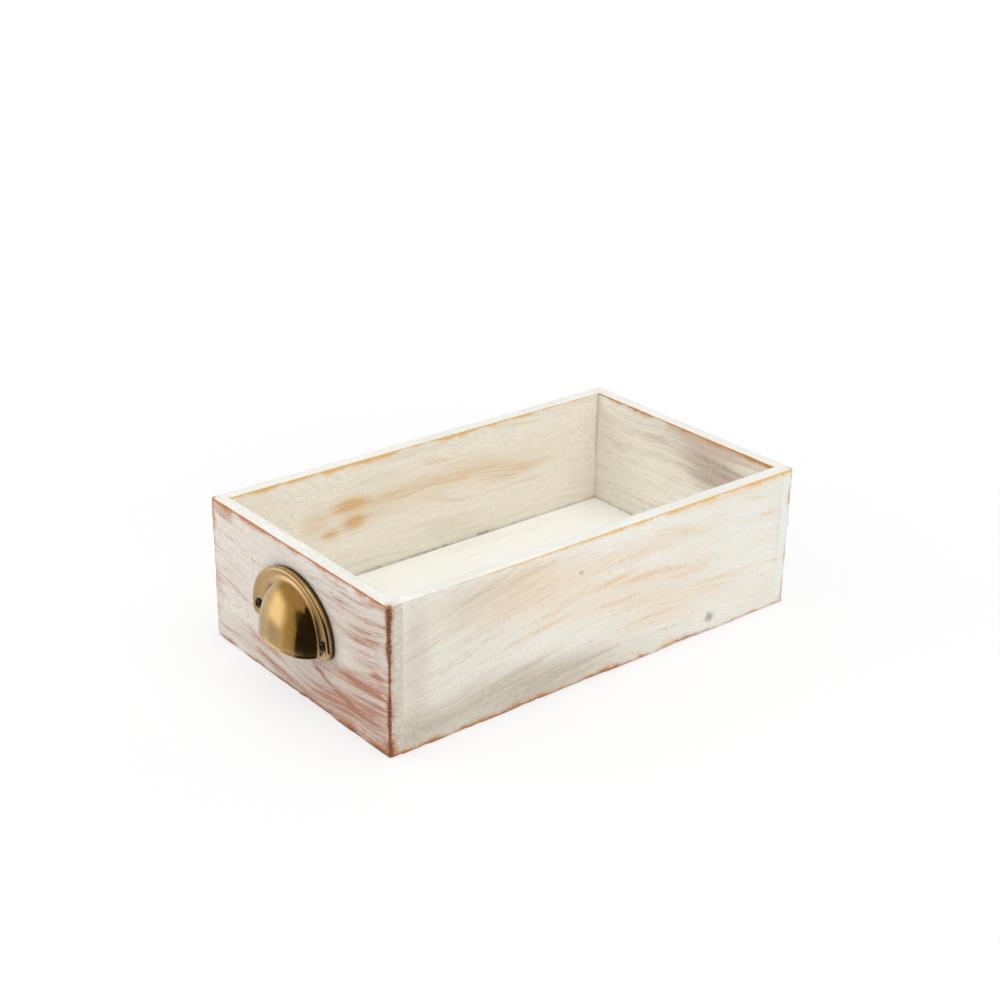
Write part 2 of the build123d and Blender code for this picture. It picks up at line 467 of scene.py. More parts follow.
boardMesh = {
    "alongGrain": 2.2 * mm,  # mesh pitch
    "acrossGrain": 0.9 * mm,
    "ends": [0, 0.35 * mm, 0.8 * mm, 1.3 * mm, 1.9 * mm, 2.6 * mm],  # mesh lines in from an edge
    "outerEase": 1.4 * mm,
    "rimEase": 0.9 * mm,
    "cornerEase": 2.4 * mm,
    "easeWobble": 0.30,
    "easeSize": 18 * mm,
    "skinBelow": 0.02 * mm,  # the paint film lies this far inside the board's full size
    "grainDepth": 0.05 * mm,
    "grainSize": (30 * mm, 1.8 * mm),
    "wavesDepth": 0.20 * mm,
    "wavesSize": 42 * mm,
    "dipsDepth": 0.75 * mm,  # dips and chips are in the worn edges only
    "dipsSize": 19 * mm,
    "dipsMore": 0.15,
    "chipsDepth": 0.45 * mm,
    "chipsSize": 6 * mm,
    "chipsMore": 2,
    "dents": 7,
    "dentDepth": 0.22 * mm,
    "dentShallowest": 0.4,
    "dentRadius": (1.6 * mm, 4.2 * mm),
    "jointShows": 0.12,  # how much of the skin's unevenness opens the glued joints
}
noiseFrom = {"grain": 3, "waves": 7, "wear": 31, "fineWear": 57, "dirt": 71, "dips": 83, "chips": 91}

# where two faces meet: how far the wear reaches down the first and over the second, in mm,
# its share at the start, middle and end of the edge, and how dark the stain is
edgeLooks = {
    "front top": (1.7, 0.3, (1.5, 0.85, 1.0), 0.40),
    "right top": (1.3, 0.25, (0.05, 0.9, 1.9), 0.0),
    "back top": (1.3, 0.4, (1.0, 0.6, 1.0), 0.3),
    "left top": (1.3, 0.3, (0.6, 1.0, 0.8), 0.1),
    "front bottom": (1.8, 1.2, (0.9, 1.2, 2.2), 0.8),
    "right bottom": (1.6, 1.2, (1.7, 1.3, 0.5), 0.7),
    "back bottom": (1.4, 1.2, (1.0, 0.8, 1.0), 0.5),
    "left bottom": (1.4, 1.2, (0.8, 1.0, 1.0), 0.5),
    "front right": (1.6, 1.7, (2.0, 0.9, 1.7), 1.0),
    "front left": (2.2, 1.6, (0.7, 0.9, 1.3), 0.45),
    "back right": (1.3, 1.7, (1.2, 0.7, 1.4), 0.65),
    "back left": (1.4, 1.2, (1.0, 0.8, 1.0), 0.5),
    "innerLeft top": (1.6, 0.3, (0.8, 1.2, 0.25), 0.0),
    "innerBack top": (1.4, 0.3, (0.7, 1.1, 1.5), 0.45),
    "innerRight top": (1.4, 0.3, (0.7, 1.0, 0.8), 0.1),
    "innerFront top": (1.3, 0.3, (0.8, 0.9, 1.0), 0.2),
}

wear = {
    "widest": 3,  # the stain is gone at this many times an edge's own width
    "farAway": 9.0,
    "ripples": [(12 * mm, 0.9, "wear"), (3.5 * mm, 0.4, "fineWear")],  # size, strength and noise
    "rippleLimits": (0.1, 2.2),
}

# rubbed places, outside and inside: where the middle is along the board and up it, half the length
# and half the height, all in mm, how strong it is, and how far it climbs for each mm along
rubbedOutside = {
    "front": {
        "warm": [
            (48, 22, 54, 20, 0.60, 0.0),
            (30, 8, 48, 7, 0.50, 0.0),
            (74, 40, 24, 30, 0.60, 0.0),
            (56, 70, 44, 18, 0.40, 0.0),
            (-40, 14, 40, 10, 0.35, 0.0),
            (24, 24, 11, 1.8, 1.35, -0.38),
            (46, 18.5, 15, 2.2, 1.35, -0.17),
            (60, 34, 26, 2.4, 1.30, 0.02),
            (77, 45.5, 10, 2.2, 1.20, 0.17),
            (58, 59, 22, 1.6, 0.75, 0.12),
            (60, 67, 19, 1.2, 0.50, 0.09),
            (43, 76, 18, 1.4, 0.65, 0.09),
            (-64, 40.5, 20, 1.5, 0.75, -0.19),
            (-62, 54, 18, 1.2, 0.40, -0.15),
            (-30, 17, 19, 2.2, 0.90, -0.16),
            (-30, 8, 40, 3, 0.40, -0.05),
            (-74, 85, 13, 4.5, 0.80, -0.10),
            (-82, 28, 6, 18, 0.30, 0.0),
        ],
        "grey": [
            (20, 5, 70, 6, 0.30, 0.0),
            (58, 24, 40, 20, 0.44, 0.0),
            (40, 50, 60, 12, 0.15, 0.1),
            (44, 12, 58, 20, 0.44, 0.0),
            (78, 10, 20, 18, 0.36, 0.0),
        ],
    },
    "right": {
        "warm": [
            (-60, 80, 56, 9, 0.42, 0.0),
            (-72, 70, 62, 20, 0.32, 0.0),
            (106, 87, 48, 3.5, 0.55, 0.0),
            (-46, 81.5, 19, 1.5, 0.50, 0.09),
            (-42, 44, 28, 2.4, 0.45, 0.12),
            (14, 58, 20, 2.2, 0.75, 0.14),
            (38, 53, 27, 2.8, 0.70, -0.07),
            (76, 45.7, 20, 1.6, 0.80, -0.08),
            (104, 35, 22, 1.8, 0.55, -0.03),
            (138, 66, 9, 1.5, 0.80, -0.06),
            (20, 48, 80, 14, 0.42, 0.0),
            (62, 28, 56, 14, 0.45, 0.0),
            (30, 72, 66, 9, 0.40, 0.0),
            (-40, 66, 60, 14, 0.35, 0.0),
            (60, 3, 9, 4, 1.20, 0.0),
        ],
        "grey": [
            (-66, 10, 84, 20, 0.72, 0.07),
            (-30, 12, 46, 11, 0.35, 0.0),
            (-128, 12, 26, 14, 0.50, 0.0),
            (-60, 22, 40, 3, 0.25, 0.20),
            # a broad grey wash over the near end: painted shade, so the face grows lighter towards the
            # far end
            (-100, 40, 60, 60, 0.34, 0.0),
            (-84, 80, 80, 18, 0.20, 0.0),
            (-126, 50, 12, 50, 0.35, 0.0),
            (20, 8, 60, 12, 0.35, 0.0),
            (153, 60, 7, 34, 0.45, 0.0),
        ],
    },
}
rubbedInside = {
    "left": {
        "warm": [
            (-52, 63, 16, 5.5, 0.95, 0.0),
            (-48, 51, 10, 5.0, 0.95, 0.0),
            (-66, 47, 7, 4.0, 0.80, 0.0),
            (-78, 58, 12, 10.0, 0.45, 0.0),
            (30, 62, 84, 6, 0.22, 0.0),
            (25, 60, 84, 18, 0.36, 0.0),
            (80, 52, 34, 5, 0.42, 0.04),
            (80, 43, 25, 1.8, 0.40, 0.0),
            (25, 46, 26, 1.5, 0.30, -0.30),
            (10, 77, 15, 4, 0.40, -0.25),
            (-50, 56, 36, 16, 0.30, 0.0),
        ],
        "grey": [(-20, 22, 140, 11, 0.24, 0.0), (-50, 76, 60, 8, 0.15, 0.0), (20, 86, 130, 6, 0.20, 0.0)],
    },
    "back": {
        "warm": [(20, 86, 44, 6, 0.95, 0.0), (26, 70, 34, 14, 0.42, 0.0)],
        "grey": [
            (32, 68, 32, 16, 0.62, 0.0),
            (30, 76, 28, 2.2, 0.55, -0.06),
            (30, 70, 26, 1.8, 0.45, -0.08),
            (24, 63, 18, 4, 0.45, -0.05),
            (0, 78, 100, 30, 0.40, 0.0),
            (-10, 52, 36, 2.4, 0.25, 0.0),
            (-34, 43, 18, 2.5, 0.20, 0.0),
        ],
    },
    # the greyer strip along the left wall is painted shade, the wall's shadow on the bottom board
    "floor": {"warm": [], "grey": [(0, -70, 190, 20, 0.20, 0.0)]},
}


def turnedOver(places, share):
    # the same places on the other side of the box, for the faces that the picture doesn't show
    turned = np.array([-1, 1, 1, 1, share, -1])
    return {channel: (np.reshape(rows, (-1, 6)) * turned).tolist() for channel, rows in places.items()}


# the copy carries the right face's painted shade along with its rubbed places
rubbedOutside["left"] = turnedOver(rubbedOutside["right"], 0.6)
rubbedOutside["back"] = turnedOver(rubbedOutside["front"], 0.55)
rubbedInside["right"] = turnedOver(rubbedInside["left"], 0.9)
rubbedInside["front"] = turnedOver(rubbedInside["back"], 0.5)
rubbedFrom = (1.35, 0.1)  # a rubbed place begins this far out from its middle, and is full there
knots = {"right": [(93, 10, 5.2), (-10.9, 70.6, 2.2)], "left": [(-40, 30, 3.0)]}  # and their radius

# painted shade where the walls meet the bottom board, in dashes, and up the left wall's back corner;
# pairs are where it begins and where it is full
dirt = {
    "dashes": (7 * mm, 16 * mm, 7 * mm),
    "dashesFrom": (-0.15, 0.25),
    "between": 0.3,  # how dark it is between the dashes
    "darkestAt": 12 * mm,  # along the box
    "darkFor": 55 * mm,
    "elsewhere": 0.25,
    "height": (2.3 * mm, 0.5 * mm),
    "underFloor": 0.5 * mm,
    "corner": 0.4,  # a fainter line goes up the left wall's back corner
    "cornerWidth": (2.8 * mm, 0.5 * mm),
    "cornerHeight": (35 * mm, 65 * mm),
}


def gridLines(low, high, pitch):
    # even lines from low to high, closer together where the edges are eased
    ends = np.array(boardMesh["ends"])
    count = max(int(round((high - low - 2 * ends[-1]) / pitch)), 1)
    middle = np.linspace(low + ends[-1], high - ends[-1], count + 1)
    return np.concatenate([low + ends[:-1], middle, (high - ends[:-1])[::-1]])


def gridPart(parts):
    # picks these parts of some of a grid's three axes, and all of the others
    return tuple(parts.get(axis, slice(None)) for axis in range(3))


def gridShell(lines):
    # the outside of a block of grid lines, as points and quads
    sides = [(axis, end) for axis in range(3) for end in (0, -1)]
    outside = np.zeros([len(line) for line in lines], bool)
    for axis, end in sides:
        outside[gridPart({axis: end})] = True
    number = np.zeros(outside.shape, int)
    number[outside] = np.arange(outside.sum())
    points = np.column_stack([line[places] for line, places in zip(lines, np.nonzero(outside))])
    quads = []
    for axis, end in sides:
        sheet = number[gridPart({axis: end})]
        corners = (sheet[:-1, :-1], sheet[1:, :-1], sheet[1:, 1:], sheet[:-1, 1:])
        quad = np.stack(corners, -1).reshape(-1, 4)
        turned = (end == 0) != (axis == 1)
        quads.append(quad[:, ::-1] if turned else quad)
    return points, np.vstack(quads)


def rounded(first, second, radius):
    # pulls a square corner's two offsets in to a round of that radius
    outside = (first > 0) & (second > 0)
    reach = np.hypot(first, second)
    share = np.where(outside, np.maximum(first, second) / np.where(reach > 0, reach, 1), 1)
    return first * share, second * share


def ease(points, wobble):
    # the glued-up box with its corners, outer edges and rim eased
    middleY = (box["front"] + box["back"]) / 2
    halfLength = (box["back"] - box["front"]) / 2
    side = np.where(points[:, 0] < 0, -1, 1)
    end = np.where(points[:, 1] < middleY, -1, 1)
    x = np.abs(points[:, 0])
    y = np.abs(points[:, 1] - middleY)
    z = points[:, 2]
    corner = boardMesh["cornerEase"]
    cornerX = box["halfWidth"] - corner
    cornerY = halfLength - corner
    offX, offY = rounded(x - cornerX, y - cornerY, corner)
    x, y = cornerX + offX, cornerY + offY

    # outer edges, above and below
    inCorner = (offX > 0) & (offY > 0)
    reach = np.hypot(offX, offY)
    depth = np.where(inCorner, corner - reach, np.minimum(box["halfWidth"] - x, halfLength - y))
    nearX = box["halfWidth"] - x < halfLength - y
    safe = np.where(reach > 0, reach, 1)
    outX = np.where(inCorner, offX / safe, nearX)
    outY = np.where(inCorner, offY / safe, ~nearX)
    radius = boardMesh["outerEase"] * wobble
    halfHeight = box["top"] / 2
    level = np.abs(z - halfHeight)
    outward, upward = rounded(radius - depth, level - (halfHeight - radius), radius)
    x = x - outX * (radius - outward - depth)
    y = y - outY * (radius - outward - depth)
    z = halfHeight + np.where(z < halfHeight, -1, 1) * (halfHeight - radius + upward)

    # the rim's inner edge
    innerX = x - box["innerSide"]
    innerY = y - (halfLength - (box["innerFront"] - box["front"]))
    depth = np.maximum(innerX, innerY)
    radius = boardMesh["rimEase"] * wobble
    inward, upward = rounded(radius - depth, z - (box["top"] - radius), radius)
    push = np.where(z > box["top"] - radius, radius - inward - depth, 0)
    x = np.where(innerX >= innerY, x + push, x)
    y = np.where(innerX >= innerY, y, y + push)
    z = np.where(depth < radius, np.minimum(z, box["top"] - radius + upward), z)
    return np.column_stack([side * x, middleY + end * y, z])


def edgeWear(points):
    # how near each point is to a worn edge (1 on it, 0 well away), and how dark the stain is there
    x, y, z = points.T
    gaps = {
        "front": y - box["front"],
        "back": box["back"] - y,
        "right": box["halfWidth"] - x,
        "left": box["halfWidth"] + x,
        "top": box["top"] - z,
        "bottom": z,
        "innerLeft": np.abs(x + box["innerSide"]),
        "innerRight": np.abs(x - box["innerSide"]),
        "innerBack": np.abs(y - box["innerBack"]),
        "innerFront": np.abs(y - box["innerFront"]),
    }
    lengthways = (y - box["front"]) / (box["back"] - box["front"])
    sideways = (x + box["halfWidth"]) / (2 * box["halfWidth"])
    pastX = np.maximum(np.abs(x) - box["innerSide"], 0)
    pastY = np.maximum(np.maximum(box["innerFront"] - y, y - box["innerBack"]), 0)
    nearest = np.full(len(points), wear["farAway"])
    stain = np.zeros(len(points))
    wave = np.ones(len(points))
    for size, strength, start in wear["ripples"]:
        wave += strength * ripple(points, size, noiseFrom[start])
    wave = np.clip(wave, *wear["rippleLimits"])
    for name, (downFirst, overSecond, shares, depth) in edgeLooks.items():
        first, second = name.split()
        onSide = first in ("left", "right", "innerLeft", "innerRight")
        along = lengthways if onSide else sideways
        beyond = 0
        if second not in ("top", "bottom"):
            along = z / box["top"]
        elif first.startswith("inner"):
            beyond = pastY if onSide else pastX
        share = np.interp(along, (0, 0.5, 1), shares) * wave * mm
        across = np.hypot(gaps[first], beyond) / overSecond
        ratio = np.maximum(gaps[second] / downFirst, across) / share
        stain = np.where(ratio < nearest, depth, stain)
        nearest = np.minimum(nearest, ratio)
    return np.clip(1 - nearest / wear["widest"], 0, 1), stain


def placed(along, height, places):
    # soft patches at the given places, added up
    total = np.zeros(len(along))
    for middle, level, halfLength, halfHeight, strength, climb in places:
        past = along / mm - middle
        reach = np.hypot(past / halfLength, (height / mm - level - climb * past) / halfHeight)
        total += strength * smooth(reach, *rubbedFrom)
    return total


# how dark the painted shade is along the foot of the walls and up the back corner
def jointShadeLine(points, inCorner):
    along, height = points[:, 1], points[:, 2]
    dashes = smooth(ripple(points, dirt["dashes"], noiseFrom["dirt"]), *dirt["dashesFrom"])
    darkest = np.exp(-((along - dirt["darkestAt"]) / dirt["darkFor"]) ** 2)
    dark = dirt["elsewhere"] + (1 - dirt["elsewhere"]) * darkest
    aboveFloor = height - box["floor"]
    line = (dirt["between"] + (1 - dirt["between"]) * dashes) * dark
    line = line * smooth(aboveFloor, *dirt["height"])
    if inCorner:
        corner = smooth(box["innerBack"] - along, *dirt["cornerWidth"])
        line = np.maximum(line, dirt["corner"] * corner * smooth(height, *dirt["cornerHeight"]))
    return line * (aboveFloor > -dirt["underFloor"])


def unevenness(points, near, grainAxis, seed):
    # how far grain, waves, worn edges and dents go into the wood; nothing stands out of it
    size = np.full(3, boardMesh["grainSize"][1])
    size[grainAxis] = boardMesh["grainSize"][0]
    grain = ripple(points, size, seed + noiseFrom["grain"])
    waves = ripple(points, boardMesh["wavesSize"], noiseFrom["waves"])
    dips = ripple(points, boardMesh["dipsSize"], noiseFrom["dips"]) + boardMesh["dipsMore"]
    chips = ripple(points, boardMesh["chipsSize"], noiseFrom["chips"]) * boardMesh["chipsMore"]
    sunk = boardMesh["grainDepth"] * (0.5 + 0.5 * grain)
    sunk += boardMesh["wavesDepth"] * (0.5 + 0.5 * waves)
    sunk += boardMesh["dipsDepth"] * near ** 2 * np.clip(dips, 0, 1)
    sunk += boardMesh["chipsDepth"] * near ** 2 * np.clip(chips, 0, 1)
    random = np.random.default_rng(seed)
    for _ in range(boardMesh["dents"]):
        middle = points[random.integers(len(points))]
        reach = np.linalg.norm(points - middle, axis=1) / random.uniform(*boardMesh["dentRadius"])
        depth = boardMesh["dentDepth"] * random.uniform(boardMesh["dentShallowest"], 1)
        sunk += depth * smooth(reach, 1, 0)
    return sunk


def carry(piece, name, values):
    layer = piece.data.attributes.new(name, "FLOAT", "POINT")
    layer.data.foreach_set("value", values.astype(np.float32))


def board(node, look, seed):
    low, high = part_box(node)
    grainAxis, upAxis, _ = looks[look]["grain"]
    pitches = [boardMesh["acrossGrain"]] * 3
    pitches[grainAxis] = boardMesh["alongGrain"]
    lines = [gridLines(low[axis], high[axis], pitches[axis]) for axis in range(3)]
    onBox, quads = gridShell(lines)
    upright = node != "bottom_board"
    points = onBox
    near = stain = joint = np.zeros(len(onBox))
    inside = np.ones(len(onBox))
    side, end = np.abs(onBox[:, 0]), onBox[:, 1]
    if upright:
        wobble = boardMesh["easeWobble"] * ripple(onBox, boardMesh["easeSize"], seed)
        points = ease(onBox, 1 + wobble)
        near, stain = edgeWear(onBox)
        between = (end > box["innerFront"] - slack) & (end < box["innerBack"] + slack)
        inside = (between & (side < box["innerSide"] + slack)).astype(float)
        joint = jointShadeLine(onBox, node == "left_side_board") * inside
    piece = newPiece(pieceName(node), points, quads, finishes[look])

    normals = np.zeros(len(points) * 3, np.float32)
    piece.data.vertices.foreach_get("normal", normals)
    sunk = unevenness(points, near, grainAxis, seed) + boardMesh["skinBelow"]
    move = -normals.reshape(-1, 3) * sunk[:, None]
    if upright:
        onEnd = (np.abs(end - box["innerFront"]) < slack) | (np.abs(end - box["innerBack"]) < slack)
        move[onEnd & (side > box["innerSide"] - slack), 1] *= boardMesh["jointShows"]
    piece.data.vertices.foreach_set("co", (points + move).astype(np.float32).ravel())
    piece.data.update()

    along, height = onBox[:, grainAxis], onBox[:, upAxis]
    spots = [(middle, level, radius, radius, 1, 0) for middle, level, radius in knots.get(look, [])]
    marks = {"inside": inside, "edgeNear": near, "edgeStain": stain, "joint": joint}
    for channel in ("warm", "grey"):
        outer, inner = (
            placed(along, height, places.get(look, {}).get(channel, []))
            for places in (rubbedOutside, rubbedInside)
        )
        marks[channel + "Rub"] = outer * (1 - inside) + inner * inside
    marks["knot"] = placed(along, height, spots) * (1 - inside)
    for mark, values in marks.items():
        carry(piece, mark, values)
    standFor(piece, node)


boards = {
    "front_board": ("front", 11),  # its look, and the seed of its dents and grain
    "back_board": ("back", 23),
    "left_side_board": ("left", 37),
    "right_side_board": ("right", 41),
    "bottom_board": ("floor", 59),
}
for node, (look, seed) in boards.items():
    board(node, look, seed)
print("five boards cut, eased and painted")


# Nails, driven just below the face and painted over

nail = {
    "head": [(0, 0.08), (0.7, 0), (1.15, 0.03), (1.3, 0.18), (1.3, 0.4)],  # radius and depth
    "headThick": 0.7,
    "headBelow": 0.28,  # under the paint, so that no head shows
    "shankRadius": 0.7,
    "ringPitch": 0.9,
    "ringDepth": 0.09,
    "ringCut": 0.12,
    "ringCrest": 0.05,
    "ringed": 0.45,  # share of the shank that is ringed
    "point": 2.4,
    "pointWaist": (0.385, 1.0),  # radius, and distance from the tip
    "sides": 20,
    "steel": {
        "clouds": (0.9 * mm, 4.0, 0.6),  # grain size, detail and roughness of the noise
        "tones": (tone(150, 150, 150), tone(196, 196, 192)),
        "paleFrom": (0.35, 0.65),
        "roughness": (0.30, 0.46),
        "marks": (0.9 * mm, 4.0, 0.6),
        "markDepth": 0.02 * mm,
        "metallic": 1.0,
    },
}


def steelFinish(name, look):
    made = Finish(name)
    place = made.add("TexCoord").outputs["Object"]
    cloudy = made.grain(place, *look["clouds"])
    colour = made.blend(made.fade(cloudy, *look["paleFrom"]), *look["tones"])
    rough = made.fade(cloudy, *mostNoise, *look["roughness"])
    marks = made.bump(made.grain(place, *look["marks"]), look["markDepth"])
    return made.finish(Base_Color=colour, Metallic=look["metallic"], Roughness=rough, Normal=marks)


def nailProfile(length):
    # radius and depth from the head down, in millimetres
    shank, thick, pitch = nail["shankRadius"], nail["headThick"], nail["ringPitch"]
    tip = length - nail["point"]
    ringsFrom = thick + (tip - thick) * (1 - nail["ringed"])
    profile = nail["head"] + [(shank, thick), (shank, ringsFrom)]
    for ring in range(int((tip - ringsFrom) / pitch)):
        start = ringsFrom + ring * pitch
        profile.append((shank - nail["ringDepth"], start + nail["ringCut"]))
        profile.append((shank, start + pitch - nail["ringCrest"]))
    waist, fromTip = nail["pointWaist"]
    return profile + [(shank, tip), (waist, length - fromTip), (0, length)]


def driveNail(node, steel):
    low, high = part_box(node)
    side = node.split("_")[0]
    axis = 1 if side in ("front", "back") else 0
    fromLow = side in ("front", "left")
    inward = np.zeros(3)
    inward[axis] = 1 if fromLow else -1
    head = np.array((low + high) / 2)
    head[axis] = (low if fromLow else high)[axis]
    head += inward * nail["headBelow"] * mm
    (_, top), *rings, (_, tip) = nailProfile((high[axis] - low[axis]) / mm - nail["headBelow"])

    sides = nail["sides"]
    turn = np.arange(sides) * 2 * np.pi / sides
    across = np.array(Vector(inward).orthogonal().normalized())
    circle = np.cos(turn)[:, None] * across + np.sin(turn)[:, None] * np.cross(inward, across)
    rows = [head + (inward * depth + circle * radius) * mm for radius, depth in rings]
    points = np.vstack([head + inward * top * mm, *rows, head + inward * tip * mm])
    starts = range(1, len(points) - 1, sides)
    faces = []
    for here in range(sides):
        after = (here + 1) % sides
        faces.append((0, 1 + after, 1 + here))
        for upper, lower in zip(starts, starts[1:]):
            faces.append((upper + here, upper + after, lower + after, lower + here))
        faces.append((starts[-1] + here, starts[-1] + after, len(points) - 1))
    standFor(newPiece(pieceName(node), points, faces, steel), node)


wireSteel = steelFinish("brightNailSteel", nail["steel"])
nailNodes = [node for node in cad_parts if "nail" in node]
for node in nailNodes:
    driveNail(node, wireSteel)
print(len(nailNodes), "nails driven")


# Skins: a shape is given as a field of gaps, below zero inside it

def softMin(first, second, blend):
    overlap = np.maximum(blend - np.abs(first - second), 0)
    return np.minimum(first, second) - overlap ** 2 / (4 * blend)


def softMax(first, second, blend):
    return -softMin(-first, -second, blend)


skinning = {
    "margin": 1.5,  # how many steps the grid reaches past the piece
    "settlings": 4,
    "furthest": 0.4,  # of a step, in one settling
    "gentlest": 0.05,  # the slope below which a point is held back
    "slopeStep": 0.05,
    "normalStep": 0.2,
}


def slopeOf(field, points, step):
    sides = [field(*(points + shift).T) - field(*(points - shift).T) for shift in np.eye(3) * step]
    return np.stack(sides, -1) / (2 * step)


def skin(field, low, high, step):
    # quads over the surface where the field crosses zero, with each point settled on it
    margin = skinning["margin"] * step
    axes = [np.arange(a - margin, b + margin + step, step) for a, b in zip(low, high)]
    gap = field(*np.meshgrid(*axes, indexing="ij"))
    inside = gap < 0
    cells = [n - 1 for n in gap.shape]
    total = np.zeros(cells + [3])
    count = np.zeros(cells)
    crossings = []
    for axis in range(3):
        # where the grid's own lines cross the surface along this axis, shared out to the cells around
        start, stop = gridPart({axis: slice(0, -1)}), gridPart({axis: slice(1, None)})
        crosses = inside[start] != inside[stop]
        part = np.where(crosses, gap[start] / np.where(crosses, gap[start] - gap[stop], 1), 0)
        lines = [a[:-1] if n == axis else a for n, a in enumerate(axes)]
        where = np.stack(np.meshgrid(*lines, indexing="ij"), -1)
        where[..., axis] += part * step
        where *= crosses[..., None]
        others = [n for n in range(3) if n != axis]
        for first in (0, 1):
            for second in (0, 1):
                ends = zip(others, (first, second))
                window = gridPart({n: slice(offset, cells[n] + offset) for n, offset in ends})
                total += where[window]
                count += crosses[window]
        crossings.append((axis, others, crosses, inside[start]))
    used = count > 0
    number = np.zeros(cells, int)
    number[used] = np.arange(used.sum())
    points = total[used] / count[used][:, None]
    quads = []
    for axis, others, crosses, startsInside in crossings:
        spot = np.argwhere(crosses)
        spot = spot[(spot[:, others[0]] > 0) & (spot[:, others[1]] > 0)]
        back0, back1 = np.eye(3, dtype=int)[others]
        ring = [spot - back0 - back1, spot - back1, spot, spot - back0]
        quad = np.stack([number[tuple(corner.T)] for corner in ring], -1)
        outward = startsInside[tuple(spot.T)] != (axis == 1)
        quads.append(np.where(outward[:, None], quad, quad[:, ::-1]))
    for _ in range(skinning["settlings"]):
        slope = slopeOf(field, points, step * skinning["slopeStep"])
        steep = np.maximum((slope ** 2).sum(1), skinning["gentlest"])
        move = (field(*points.T) / steep)[:, None] * slope
        length = np.linalg.norm(move, axis=1, keepdims=True)
        points = points - move * np.minimum(1, skinning["furthest"] * step / np.maximum(length, 1e-9))
    slope = slopeOf(field, points, step * skinning["normalStep"])
    normals = slope / np.maximum(np.linalg.norm(slope, axis=1, keepdims=True), 1e-9)
    return points, np.vstack(quads), normals


def ontoFront(x, y, z):
    # turns a piece's own x, up and out to face the front, and sets it there
    return Matrix(((1, 0, 0, x), (0, 0, -1, y), (0, 1, 0, z), (0, 0, 0, 1)))


def skinPiece(name, field, low, high, step, toWorld, material):
    # a piece made over a field in millimetres, and carried to its place
    points, quads, normals = skin(field, low, high, step)
    facing = np.array(toWorld.to_3x3())
    atHome = points @ facing.T * mm + np.array(toWorld.translation)
    piece = newPiece(name, atHome, quads, material)
    piece.data.normals_split_custom_set_from_vertices((normals @ facing.T).tolist())
    return piece, points


# Cup pull of antique brass sheet, in millimetres from the foot of its flange

pull = {
    "step": 0.42,
    "sheet": 1.2,
    "footRadius": 7.6,
    "straight": 1.0,
    "flatness": 3.3,
    "rimHeight": 4.4,
    "rimWidth": 2.9,
    "rimRound": 1.6,
    "bandHeight": 3.4,
    "bandTopWidth": 2.9,
    "bandBlend": 1.5,
    "rimBlend": 0.7,
    "cupHalfWidth": 26.6,
    "cupProjection": 15.8,
    "cupFlatness": 2.2,
    "rootBlend": 2.6,
    "lipDrop": 1.0,
    "lipHeight": 1.3,
    "lipOut": 0.4,
    "lipBlend": 0.9,
    "screwUp": 9.0,
    "screwApart": 64.0,
    "holeRadius": 1.85,
    "seamBlend": 0.5,  # at the lip's root, the hollow behind and the screw holes
}
brass = {
    "tones": (tone(178, 150, 100), tone(190, 162, 112)),
    "clouds": (9 * mm, 4.0, 0.6),  # grain size, detail and roughness of each noise
    "patches": (2.2 * mm, 3.0, 0.6),
    "rubbing": ((0.5 * mm, 0.5 * mm, 6 * mm), 3.0, 0.6),
    "waves": (14 * mm, 1.0),
    "paleFrom": (0.35, 0.68),
    "tarnish": tone(180, 152, 112),
    "tarnishPatches": 0.25,
    "tarnishFrom": (0.05, 0.55, 0.0, 0.85),
    "patina": tone(62, 46, 22),
    "patinaPatches": 0.3,
    "patinaFrom": (0.15, 0.9, 0.0, 0.92),
    "roughness": (0.35, 1.0, 0.14, 0.26),
    "rubbedDuller": 0.3,
    "patinaDuller": 0.3,
    "rubbingDepth": 0.004 * mm,
    "wavesDepth": 0.03 * mm,
    # where tarnish and patina gather: how much, and how many millimetres off they begin and are full
    "bandTarnish": (0.55, 2.2, 0.3),
    "rootTarnish": (0.5, 4.0, 0.6),
    "rootPatina": (0.14, 1.5, 0.2),
    "outlinePatina": (1.0, 1.2, 0.3),
    "lowPatina": (1.0, 3.4, 0.9),
    "backPatina": 0.2,
}
pullLow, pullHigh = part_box("cup_pull")
pullHalfWidth = pullHigh.x / mm
pullHeight = (pullHigh.z - pullLow.z) / mm - pull["lipDrop"]
pullOut = (box["front"] - pullLow.y) / mm


def archGap(x, height, halfWidth, rise, flatness):
    # how far a point lies outside a three-centred arch on upright legs
    shoulder = min(halfWidth, rise) - flatness
    across = halfWidth - shoulder
    crown = (across ** 2 + rise ** 2 - shoulder ** 2) / (2 * (rise - shoulder))
    centre = rise - crown
    side = np.abs(x)
    underCrown = side * -centre < across * (height - centre)
    toCrown = np.hypot(side, height - centre) - crown
    toShoulder = np.hypot(side - across, height) - shoulder
    return np.where(height < 0, side - halfWidth, np.where(underCrown, toCrown, toShoulder))


def flangeGap(x, up):
    foot = pull["footRadius"]
    spring = foot + pull["straight"]
    side = np.abs(x)
    arch = archGap(x, up - spring, pullHalfWidth, pullHeight - spring, pull["flatness"])
    inFoot = (side > pullHalfWidth - foot) & (up < foot)
    footGap = np.hypot(side - (pullHalfWidth - foot), foot - up) - foot
    return np.where(inFoot, footGap, np.maximum(arch, -up))


def cupGap(x, up, out, inset):
    # the cup: its plan turned up from the lip and drawn out to its rise
    projection = pull["cupProjection"] - inset
    rise = pullHeight + pull["lipDrop"] - pull["rimWidth"] - pull["bandTopWidth"] - inset
    draw = rise / projection
    level = up + pull["lipDrop"]
    reach = np.hypot(out, level / draw)
    plan = (pull["cupHalfWidth"] - inset, projection, pull["cupFlatness"])
    tiny, flattest = 0.01, 0.04
    steep = (archGap(x, reach + tiny, *plan) - archGap(x, reach - tiny, *plan)) / (2 * tiny)
    drawn = (out ** 2 + (level / draw ** 2) ** 2) / np.maximum(reach ** 2, 1e-6)
    slope = np.sqrt(np.maximum(1 - steep ** 2 * (1 - drawn), flattest))
    return archGap(x, reach, *plan) / slope


